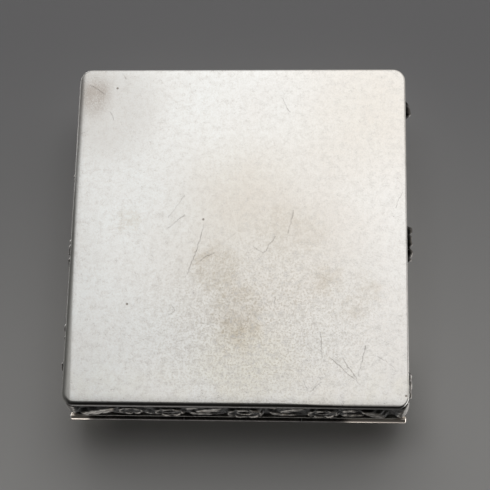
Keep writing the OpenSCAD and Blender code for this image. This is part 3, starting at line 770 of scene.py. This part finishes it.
for sign in (1, -1):
    panel.shell(0, sign * SHELL_OUT, SHELL_R, 90 * sign, 0.92)
    panel.flower(0, sign * 27.4, 3, 0.95, 6)
    panel.shell(sign * SHELL_OUT * PANEL_X / PANEL_Y, 0, SHELL_R, 90 - 90 * sign, 0.92)
    panel.flower(sign * 26, 0, 3, 0.95, 6)
edge_left = np.minimum(PANEL_X - np.abs(x), PANEL_Y - np.abs(y)) - MARGIN
outside = np.maximum(np.abs(x) - FIELD_X, np.abs(y) - FIELD_Y)
fade = np.clip(edge_left / 1.2, 0, 1) ** 0.7 * np.clip((outside - 0.8) / 1.2, 0, 1) ** 0.7
beads = np.where(np.abs(x) / FIELD_X > np.abs(y) / FIELD_Y, y, x)
beads = 0.80 + 0.20 * np.abs(np.cos(np.pi * beads / BEAD))
frame_height = FRAME_TALL * bell(outside / FRAME_HALF) * beads
panel_height = np.maximum(np.clip(panel.height, 0, 1) * PANEL_TALL * fade, frame_height)
panel_height = softened(panel_height, 0.17, panel_step, False)
panel_rub = rubbing(panel_height, panel_step, False, 0.30, 0.85)
panel_rub = np.maximum(panel_rub, np.clip(-outside - 1.4, 0, 1) * 0.95)
panel_rub = np.maximum(panel_rub, np.clip((0.4 - edge_left) / 0.6, 0, 1) * 0.8)
panel_back = softened(panel_height, 0.6, panel_step, False)

lid_raised, place = new_finish("raised lid silver")
rub = place.node("Attribute", out=2, attribute_name="rubbed")
drift = place.grain(0.16, 4, 0.6, 0.5)
fine = place.grain(3.0, 3, 0.6)
clean = (rub + (fine - 0.5) * 0.25 + (drift - 0.5) * 0.25).step(0.15, 0.75)
worn = polish_lines(place, (5, 1.0, 20, 0.5), (94, 1.1, 18, 0.5), (48, 1.6, 12, 0.4)) * clean
colour = clean.node("ValToRGB", {0: clean}, stops=(
    (0, (0.045, 0.041, 0.037)), (0.3, (0.19, 0.177, 0.158)),
    (0.65, (0.54, 0.51, 0.46)), (1, (0.86, 0.84, 0.80))))
colour = (drift.step(0.45, 0.75) * (1 - clean) * 0.6).tint(colour, (0.16, 0.145, 0.125))
colour = (worn * 0.25).tint(colour, POLISHED)
metal(place, colour, 0.40 - clean * 0.14 + fine * 0.05,
      fine * 0.3 - worn * 0.3 + matted(place, 1.7) * (1 - rub.step(0.1, 0.3)) * 0.9, 0.05)

sheet, col, row = grid_sheet("repousse_lid", panel_cols, panel_rows)
for name, field in (("behind", panel_back), ("rubbed", panel_rub)):
    keep_value(sheet.data, name, field[row, col])
put_back(sheet.data, np.stack([x[row, col], y[row, col],
                               PANEL_LOW + PANEL_SHEET + panel_height[row, col]], 1))
outer = len(sheet.data.vertices)
made_thick(sheet, PANEL_SHEET * MM, lid_raised, gilt)
corners = places(sheet.data)
corners[outer:, :2] = corners[:outer, :2]
corners[outer:, 2] = PANEL_LOW + kept_value(sheet.data, "behind")[outer:]
put_back(sheet.data, corners)
sheet.data.attributes.remove(sheet.data.attributes["behind"])
stands_for(sheet, "lid_top", "lid")


# Thumbpiece: a small shell-shaped lip of cast silver, soldered on the front of the
# lid's rim for the thumb to lift. Its edge is scalloped and its ribs are rubbed.
low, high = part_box("thumbpiece")
LIP_R, RIB_TURN, SCALLOP = 12, 8.2, 0.035
bpy.ops.object.select_all(action="DESELECT")
bpy.ops.mesh.primitive_cylinder_add(vertices=180, radius=LIP_R * MM, depth=high.z - low.z,
                                    location=(0, low.y + LIP_R * MM, (low.z + high.z) / 2))
lip = bpy.context.object
lip.name = "thumb_shell"
bpy.ops.object.transform_apply(location=True, rotation=True, scale=True)
bpy.ops.object.mode_set(mode="EDIT")
bpy.ops.mesh.select_all(action="SELECT")
bpy.ops.mesh.bisect(plane_co=(0, high.y, 0), plane_no=(0, 1, 0), use_fill=True, clear_outer=True)
cut_across(1, low.y, high.y, 8)
cut_across(0, low.x, high.x, 60)
bpy.ops.object.mode_set(mode="OBJECT")
corners = places(lip.data)
centre_y, middle_z = low.y / MM + LIP_R, (low.z + high.z) / 2 / MM
x, y, z = corners[:, 0], corners[:, 1] - centre_y, corners[:, 2] - middle_z
far, way = np.hypot(x, y) / LIP_R, np.arctan2(x, -y)
rib = np.abs(np.cos(way * 180 / RIB_TURN))
scallop = 1 - SCALLOP * (1 - rib)
round_edge = np.sqrt(np.clip(1 - np.clip((far - 0.93) / 0.075, 0, 1) ** 2, 0.02, 1))
thick = round_edge * (0.72 + 0.28 * rib) * (0.8 + 0.2 * np.clip((far - 0.75) / 0.15, 0, 1))
corners[:, 0] = x * scallop
corners[:, 1] = y * scallop + centre_y
corners[:, 2] = middle_z + z * thick
put_back(lip.data, corners)
lip.data.materials.append(rim_silver)
stands_for(lip, "thumbpiece", "lid")


# Stage: a pale floor under the box, and the grey table that its lid lies on when it is
# photographed upside down, which is seen only from below and goes with the lid.
# The floor and the table lie this far in mm from the box
STAGE_GAP = 0.5


def stage_disc(name, height, front, back, faces_down, radius):
    """A round sheet with a soft edge that only the camera sees, from one side."""
    finish, place = new_finish(name)
    x, y, _ = place.split()
    far = (x * x + y * y).math("SQRT")
    hidden = place.node("NewGeometry", out=6)
    _, _, facing = place.node("NewGeometry", out=1).split()
    seen = (1 - far.step(radius * 0.55, radius)) * (1 - hidden)
    # Painted light: the table is painted lighter towards its back; the floor's two colours are the
    # same
    tone_and_painted_light = y.step(-80, 80).tint(front, back)
    if faces_down:
        seen = seen * (-1 * facing).step(0.6, 0.9)
        # Painted shadow: the table is painted darker beside the hinge, where the box shades it
        painted_shadow = y.step(20, 40) * (1 - y.step(46, 58)) * (1 - abs(x - 2).step(32, 54))
        tone_and_painted_light = (painted_shadow * 0.9).tint(tone_and_painted_light, (0.12, 0.12, 0.118))
    clear = place.node("BsdfTransparent")
    matt = place.node("BsdfDiffuse", {"Color": tone_and_painted_light})
    place.node("OutputMaterial", {0: place.node("MixShader", {0: seen, 1: clear, 2: matt})})
    bpy.ops.object.select_all(action="DESELECT")
    bpy.ops.mesh.primitive_plane_add(size=2 * radius * MM, location=(0, 0, height * MM))
    bpy.ops.object.transform_apply(location=True)
    disc = bpy.context.object
    disc.name = name
    if faces_down:
        bpy.ops.object.mode_set(mode="EDIT")
        bpy.ops.mesh.flip_normals()
        bpy.ops.object.mode_set(mode="OBJECT")
    disc.data.materials.append(finish)
    disc.visible_diffuse = disc.visible_glossy = disc.visible_shadow = False
    disc.visible_transmission = disc.visible_volume_scatter = False
    return disc


_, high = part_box("lid_top")
stage_disc("floor", -STAGE_GAP, (0.62, 0.62, 0.61), (0.62, 0.62, 0.61), False, 900)
# The table's front and back colours differ as painted light
table = stage_disc("table", high.z / MM + STAGE_GAP, (0.29, 0.288, 0.295),
                   (0.56, 0.555, 0.545), True, 700)
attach(table, "lid")


# Light: four soft square lamps, one of them below for the plate, and a dim painted room
# that gives the silver broad bright and dark areas to mirror.
def lamp(name, spot, target, size, power):
    """A square soft lamp at a spot, turned to a target, both in mm."""
    data = bpy.data.lights.new(name, "AREA")
    data.shape, data.size, data.energy = "SQUARE", size * MM, power
    light = bpy.data.objects.new(name, data)
    bpy.context.scene.collection.objects.link(light)
    way = Vector(target) - Vector(spot)
    light.location = [part * MM for part in spot]
    light.rotation_mode = "QUATERNION"
    light.rotation_quaternion = way.to_track_quat("-Z", "Y")
    light.visible_camera = False


lamp("lamp below", (35, -250, -660), (0, 0, 0), 600, 1.02)
lamp("lamp above left", (-420, -420, 640), (0, 0, 0), 560, 2.9)
lamp("lamp above right", (520, 120, 480), (0, 0, 10), 480, 1.4)
lamp("lamp above back", (-160, 620, 560), (0, 0, 10), 400, 1.2)

world = bpy.data.worlds.new("studio")
bpy.context.scene.world = world
world.use_nodes = True
world.node_tree.nodes.clear()
way = Shade(world.node_tree).node("TexCoord", out=0)


def glow(direction, start, end):
    """1 in a direction, fading to 0 away from it; start and end are cosines."""
    toward = way.node("VectorMath", {0: way, 1: direction}, 1, operation="DOT_PRODUCT")
    return toward.step(start, end)


bright = 0.05 + glow((0.15, -0.88, -0.45), 0.4, 0.95) * 0.6 \
    + glow((0.95, -0.2, -0.2), 0.8, 0.98) * 0.5 \
    + glow((0, 0, 1), -0.15, 0.5) * 0.37 - glow((0, 0.45, 0.89), 0.78, 0.95) * 0.3
backdrop = way.node("Background", {"Color": (1, 0.99, 0.975, 1), "Strength": bright})
way.node("OutputWorld", {0: backdrop})


# Camera: below the box and a little behind it, where a pinhole camera fitted to the four
# corners of the tray stands. Its place is in metres.
camera = bpy.data.objects.new("camera", bpy.data.cameras.new("camera"))
bpy.context.scene.collection.objects.link(camera)
camera.location = (0.0239, 0.1133, -0.3556)
camera.rotation_euler = [math.radians(turn) for turn in (-162.82, -3.14, -1.25)]
camera.data.sensor_width, camera.data.lens = 36, 102.9
camera.data.clip_start, camera.data.clip_end = 0.01, 10
bpy.context.scene.camera = camera
bpy.context.scene.view_settings.view_transform = "Standard"
